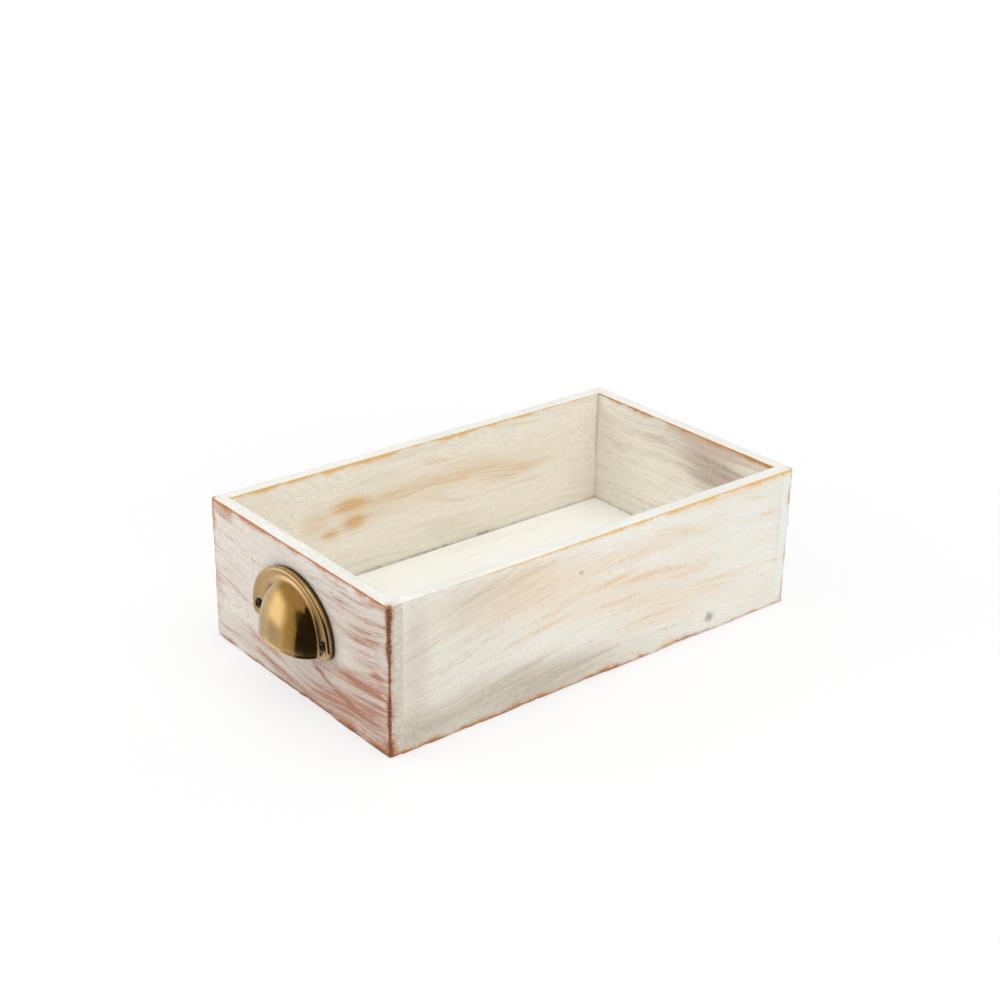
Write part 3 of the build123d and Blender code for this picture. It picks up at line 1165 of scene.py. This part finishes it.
def pullGap(x, up, out):
    spring = pull["footRadius"] + pull["straight"]
    outline = flangeGap(x, up)
    radius = pull["rimRound"]
    wall = np.stack([outline + radius, out - pull["rimHeight"] + radius])
    plate = np.minimum(wall.max(0), 0) + np.hypot(*np.maximum(wall, 0)) - radius
    inRise = pullHeight - spring - pull["rimWidth"]
    inRim = archGap(x, up - spring, pullHalfWidth - pull["rimWidth"], inRise, pull["flatness"])
    band = softMax(inRim, pull["bandHeight"] - out, pull["bandBlend"])
    flange = softMax(plate, -band, pull["rimBlend"])
    level = up + pull["lipDrop"]
    cup = np.maximum(cupGap(x, up, out, 0), -level)
    body = softMin(flange, cup, pull["rootBlend"])

    # beaded lip along the cup's lower edge
    half = pull["lipHeight"] / 2
    lipPlan = archGap(x, out, pull["cupHalfWidth"] + pull["lipOut"], pullOut, pull["cupFlatness"])
    bead = softMax(lipPlan, np.abs(level - half) - half, pull["lipBlend"])
    body = softMin(body, bead, pull["seamBlend"])

    # pressed hollow behind, and the screw holes
    body = softMax(body, -cupGap(x, up, out, pull["sheet"]), pull["seamBlend"])
    behind = np.maximum(outline + pull["sheet"], out - (pull["bandHeight"] - pull["sheet"]))
    body = np.maximum(body, -behind)
    hole = np.hypot(np.abs(x) - pull["screwApart"] / 2, up - pull["screwUp"]) - pull["holeRadius"]
    body = softMax(body, -hole, pull["seamBlend"])
    return np.maximum(np.maximum(body, -out), -level)


def antiqueBrass():
    made = Finish("antiqueBrass")
    place = made.add("TexCoord").outputs["Object"]
    cloudy = made.grain(place, *brass["clouds"])
    patchy = made.centred(made.grain(place, *brass["patches"]))
    rubbed = made.grain(place, *brass["rubbing"])
    colour = made.blend(made.fade(cloudy, *brass["paleFrom"]), *brass["tones"])
    for layer in ("tarnish", "patina"):
        level = made.timesPlus(patchy, brass[layer + "Patches"], made.carried(layer))
        colour = made.blend(made.fade(level, *brass[layer + "From"]), colour, brass[layer])
    rough = made.timesPlus(rubbed, brass["rubbedDuller"], cloudy)
    rough = made.timesPlus(level, brass["patinaDuller"], rough)  # the level is still the patina's
    rough = made.fade(rough, *brass["roughness"])
    scratched = made.bump(rubbed, brass["rubbingDepth"])
    waved = made.bump(made.grain(place, *brass["waves"]), brass["wavesDepth"], scratched)
    return made.finish(Base_Color=colour, Metallic=1.0, Roughness=rough, Normal=waved)


def gather(name, gap):
    most, start, full = brass[name]
    return most * smooth(gap, start, full)


cupPull, pullPoints = skinPiece(
    "cupPull",
    pullGap,
    (-pullHalfWidth, -pull["lipDrop"], 0),
    (pullHalfWidth, pullHeight, pullOut),
    pull["step"],
    ontoFront(0, box["front"], pullLow.z + pull["lipDrop"] * mm),
    antiqueBrass(),
)
across, up, out = pullPoints.T
bandGap = out - pull["bandHeight"]
rootGap = np.abs(cupGap(across, up, out, 0)) + np.maximum(bandGap, 0)
tarnish = np.maximum(gather("bandTarnish", np.abs(bandGap)), gather("rootTarnish", rootGap))
wall = gather("outlinePatina", -flangeGap(across, up)) * gather("lowPatina", out)
wall = np.maximum(wall, out < brass["backPatina"])
carry(cupPull, "tarnish", tarnish)
carry(cupPull, "patina", np.maximum(wall, gather("rootPatina", rootGap)))
standFor(cupPull, "cup_pull")
print("cup pull pressed:", len(pullPoints), "points")


# Round-headed screws, in millimetres from under the head

screw = {
    "step": 0.13,
    "headRadius": 3.1,
    "headHeight": 1.9,
    "headEdge": 0.5,
    "edgeBlend": 0.3,
    "underBlend": 0.15,
    "shankRadius": 1.5,
    "shankInHead": 0.4,
    "threadPitch": 1.25,
    "threadDepth": 0.38,
    "plainShank": 2.8,
    "length": 11.0,
    "point": 3.0,
    "armLength": 1.6,
    "armWidth": 0.42,
    "armTaper": (0.22, 0.088),  # how far an arm grows longer and wider for each mm up
    "recessDepth": 1.1,
    "recessMiddle": 0.798,
    "middleBlend": 0.25,
    "recessBlend": 0.3,
    "slotBlend": 0.16,
    "turnedBy": {"left_pull_screw": 24, "right_pull_screw": 61},  # degrees
    "steel": {
        "clouds": (1.4 * mm, 4.0, 0.6),
        "tones": (tone(52, 49, 46), tone(88, 85, 81)),
        "paleFrom": (0.4, 0.7),
        "roughness": (0.34, 0.5),
        "marks": (0.5 * mm, 3.0),
        "markDepth": 0.02 * mm,
        "metallic": 0.9,
    },
}


def screwGap(x, y, up):
    radius = np.hypot(x, y)
    rise = screw["headHeight"] - screw["headEdge"]
    ball = (screw["headRadius"] ** 2 + rise ** 2) / (2 * rise)
    dome = np.hypot(radius, up - (screw["headHeight"] - ball)) - ball
    head = softMax(dome, radius - screw["headRadius"], screw["edgeBlend"])
    head = softMax(head, -up, screw["underBlend"])

    # crossed recess
    above = up - (screw["headHeight"] - screw["recessDepth"])
    longer, wider = (above * taper for taper in screw["armTaper"])
    far, near = np.maximum(np.abs(x), np.abs(y)), np.minimum(np.abs(x), np.abs(y))
    arms = np.maximum(far - screw["armLength"] - longer, near - screw["armWidth"] - wider)
    arms = softMin(arms, radius - screw["recessMiddle"] - longer, screw["middleBlend"])
    recess = softMax(arms, -above, screw["recessBlend"])
    head = softMax(head, -recess, screw["slotBlend"])

    turns = up / screw["threadPitch"] + np.arctan2(y, x) / (2 * np.pi)
    crest = np.abs((turns % 1) * 2 - 1)
    cut = screw["threadDepth"] * crest * (up < -screw["plainShank"])
    tip = (up + screw["length"]) / screw["point"] * screw["shankRadius"]
    shank = radius - np.minimum(screw["shankRadius"] - cut, tip)
    return np.minimum(head, np.maximum(shank, up - screw["shankInHead"]))


steel = steelFinish("blackenedSteel", screw["steel"])
for node, degrees in screw["turnedBy"].items():
    low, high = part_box(node)
    middle = (low + high) / 2
    underHead = ontoFront(middle.x, low.y + screw["headHeight"] * mm, middle.z)
    piece, _ = skinPiece(
        pieceName(node),
        screwGap,
        (-screw["headRadius"], -screw["headRadius"], -screw["length"]),
        (screw["headRadius"], screw["headRadius"], screw["headHeight"]),
        screw["step"],
        underHead @ Matrix.Rotation(math.radians(degrees), 4, "Z"),
        steel,
    )
    standFor(piece, node)
print("pull screws turned and slotted")


# Studio: pale floor, white surround and soft lamps

studio = {
    "floorSize": 6.0,
    "floorTone": [0.90, 0.90, 0.90, 1],
    "floorRoughness": 0.9,
    "white": [1, 1, 1, 1],
    "whiteShare": (0.70, 1.0),  # how much of pure white the floor shows, by the drawer and further out
    "whiteFrom": (0.16, 0.45),
    "surround": 0.62,
    "keyLamp": {"at": (0.40, 0.15, 1.55), "size": (1.4, 1.4), "radiance": 1.82},
    "sideLamp": {"at": (1.30, -0.10, 0.45), "size": (0.9, 0.6), "radiance": 1.3, "mirrored": False},
    "fillLamp": {"at": (-0.80, -0.95, 0.95), "size": (0.7, 0.7), "radiance": 3.2, "mirrored": False},
    "aim": (0.0, 0.0, 0.045),
}

# a room of glowing cards, no lamp, seen only in the brass: painted reflections of a bright window, pale
# walls and a dark doorway; heights in metres, directions in degrees round from straight ahead
room = {
    "centre": (0.0, -0.142),
    "sweep": (-84, 84),
    # distance and height of its bends
    "profile": [(0.085, 0.0005), (0.5, 0.002), (0.5, 0.32), (0.36, 0.62), (0.10, 0.85)],
    "pitch": 0.012,
    "dusk": 0.62,  # how brightly each part of it glows
    "side": 1.0,
    "floor": 0.73,
    "window": 1.95,
    "doorway": 0.03,
    "windowFrom": (-76, -52),
    "windowTo": (-20, -40),
    "windowTop": (0.24, 0.10),
    "windowNear": (0.26, 0.14),
    "doorwayFrom": (-8, -5),
    "doorwayTop": (0.225, 0.335),  # at its edge, and where it is full height
    "doorwayFull": (-5, 10),
    "doorwayFloor": [(0.085, 0.001), (0.5, 0.003)],  # distance and height, just over the card
    "lintelSoft": 0.03,
    "duskTone": (1.0, 0.79, 0.46, 1.0),
    "dayTone": (1, 0.98, 0.95, 1),
}


def floorFinish():
    # white for whoever looks at it, but it keeps the drawer's shadow
    made = Finish("paleFloor")
    place = made.add("TexCoord").outputs["Object"]
    distance = made.add("VectorMath", {0: place}, operation="LENGTH").outputs["Value"]
    share = made.times(made.seen(), made.fade(distance, *studio["whiteFrom"], *studio["whiteShare"]))
    made.finish(Base_Color=studio["floorTone"], Roughness=studio["floorRoughness"])
    white = made.add("Emission", {"Color": studio["white"], "Strength": 1.0}).outputs[0]
    both = made.add("MixShader", {0: share, 1: made.shader.outputs[0], 2: white}).outputs[0]
    return made.show(both)


def cardFinish():
    made = Finish("mirroredRoom")
    colour = made.blend(made.carried("warmth"), room["dayTone"], room["duskTone"])
    emitted = made.add("Emission", {"Color": colour, "Strength": made.carried("glow")}).outputs[0]
    made.nodes.remove(made.shader)
    return made.show(emitted)


def bentCard(name, sweep, rows, material):
    # a glowing bent card ahead of the pull, which only polished metal picks up: a painted reflection;
    # rows are distance and height
    turn = np.linspace(*sweep, int(sweep[1] - sweep[0]) + 1)
    ahead = np.column_stack([np.sin(np.radians(turn)), -np.cos(np.radians(turn))])
    points = np.vstack([
        np.column_stack([room["centre"] + ahead * distance, np.full(len(turn), height)])
        for distance, height in rows
    ])
    columns = len(turn)
    first = np.arange(len(rows) - 1)[:, None] * columns + np.arange(columns - 1)
    faces = np.stack([first, first + 1, first + columns + 1, first + columns], -1).reshape(-1, 4)
    piece = newPiece(name, points, faces, material)
    around = np.tile(turn, len(rows))
    distance, height = np.repeat(np.array(rows), columns, axis=0).T
    low = smooth(height, *room["windowTop"])
    past = smooth(around, *room["windowFrom"])
    side = (1 - past) * low
    window = past * smooth(around, *room["windowTo"]) * low
    onFloor = smooth(distance, *room["windowNear"])
    lintel = np.interp(around, room["doorwayFull"], room["doorwayTop"])
    doorway = smooth(around, *room["doorwayFrom"]) * smooth(height - lintel, room["lintelSoft"], 0)
    # the glow paints the brass's reflections: the window a highlight, the doorway a dark patch
    glow = room["dusk"] + side * (room["side"] - room["dusk"])
    glow += window * (room["window"] - room["dusk"])
    glow += np.maximum(window, side) * onFloor * (room["floor"] - glow)
    carry(piece, "glow", glow + doorway * (room["doorway"] - glow))
    carry(piece, "warmth", 1 - np.maximum(window, side))
    for seenBy in ("camera", "diffuse", "shadow", "transmission"):
        setattr(piece, "visible_" + seenBy, False)


def mirroredRoom():
    material = cardFinish()
    rows = room["profile"][:1]
    for start, end in zip(room["profile"], room["profile"][1:]):
        count = max(int(math.dist(start, end) / room["pitch"]), 1)
        rows += np.linspace(start, end, count + 1)[1:].tolist()
    bentCard("roomCard", room["sweep"], rows, material)
    doorwaySweep = (room["doorwayFrom"][1], room["sweep"][1])
    bentCard("doorwayCard", doorwaySweep, room["doorwayFloor"], material)


def surround():
    # lights the drawer gently, and is white to look at
    made = Finish("studio", world=True)
    made.finish(Color=studio["white"], Strength=studio["surround"])
    white = made.add("Background", {"Color": studio["white"]}).outputs[0]
    both = made.add("MixShader", {0: made.seen(), 1: made.shader.outputs[0], 2: white}).outputs[0]
    bpy.context.scene.world = made.show(both)


def lamp(name, settings):
    light = bpy.data.lights.new(name, "AREA")
    light.shape = "RECTANGLE"
    light.size, light.size_y = settings["size"]
    light.energy = settings["radiance"] * math.pi * light.size * light.size_y
    holder = bpy.data.objects.new(name, light)
    holder.location = settings["at"]
    aim = Vector(studio["aim"]) - holder.location
    holder.rotation_euler = aim.to_track_quat("-Z", "Y").to_euler()
    holder.visible_camera = False
    holder.visible_glossy = settings.get("mirrored", True)
    bpy.context.scene.collection.objects.link(holder)


half = studio["floorSize"] / 2
corners = np.array([(-half, -half, 0), (half, -half, 0), (half, half, 0), (-half, half, 0)])
floor = newPiece("studioFloor", corners, np.array([[0, 1, 2, 3]]), floorFinish())
mirroredRoom()
surround()
for name in ("keyLamp", "sideLamp", "fillLamp"):
    lamp(name, studio[name])
print("studio lit")


# Camera, as the picture was taken

camera = {
    "azimuth": 50.69,
    "elevation": 24.05,
    "roll": 0.88,
    "distance": 1.072,
    "lens": 64.66,
    "sensor": 36.0,
    "lookAt": (0.0, (box["front"] + box["back"]) / 2, box["top"] / 2),
    "sideways": -0.0046,
    "upwards": 0.0303,
}


def addCamera():
    azimuth, elevation, roll = (math.radians(camera[key]) for key in ("azimuth", "elevation", "roll"))
    level = math.cos(elevation)
    back = Vector((math.sin(azimuth) * level, -math.cos(azimuth) * level, math.sin(elevation)))
    right = Vector((0, 0, 1)).cross(back).normalized()
    up = back.cross(right)
    rolledRight = right * math.cos(roll) + up * math.sin(roll)
    rolledUp = up * math.cos(roll) - right * math.sin(roll)
    place = Vector(camera["lookAt"]) + rolledRight * camera["sideways"] + rolledUp * camera["upwards"]
    place += back * camera["distance"]
    data = bpy.data.cameras.new("camera")
    data.lens = camera["lens"]
    data.sensor_width = camera["sensor"]
    holder = bpy.data.objects.new("camera", data)
    turn = Matrix((rolledRight, rolledUp, back)).transposed()
    holder.matrix_world = Matrix.Translation(place) @ turn.to_4x4()
    bpy.context.scene.collection.objects.link(holder)
    bpy.context.scene.camera = holder


addCamera()
bpy.context.scene.view_settings.view_transform = "Standard"
print("camera placed")

bpy.context.view_layer.update()
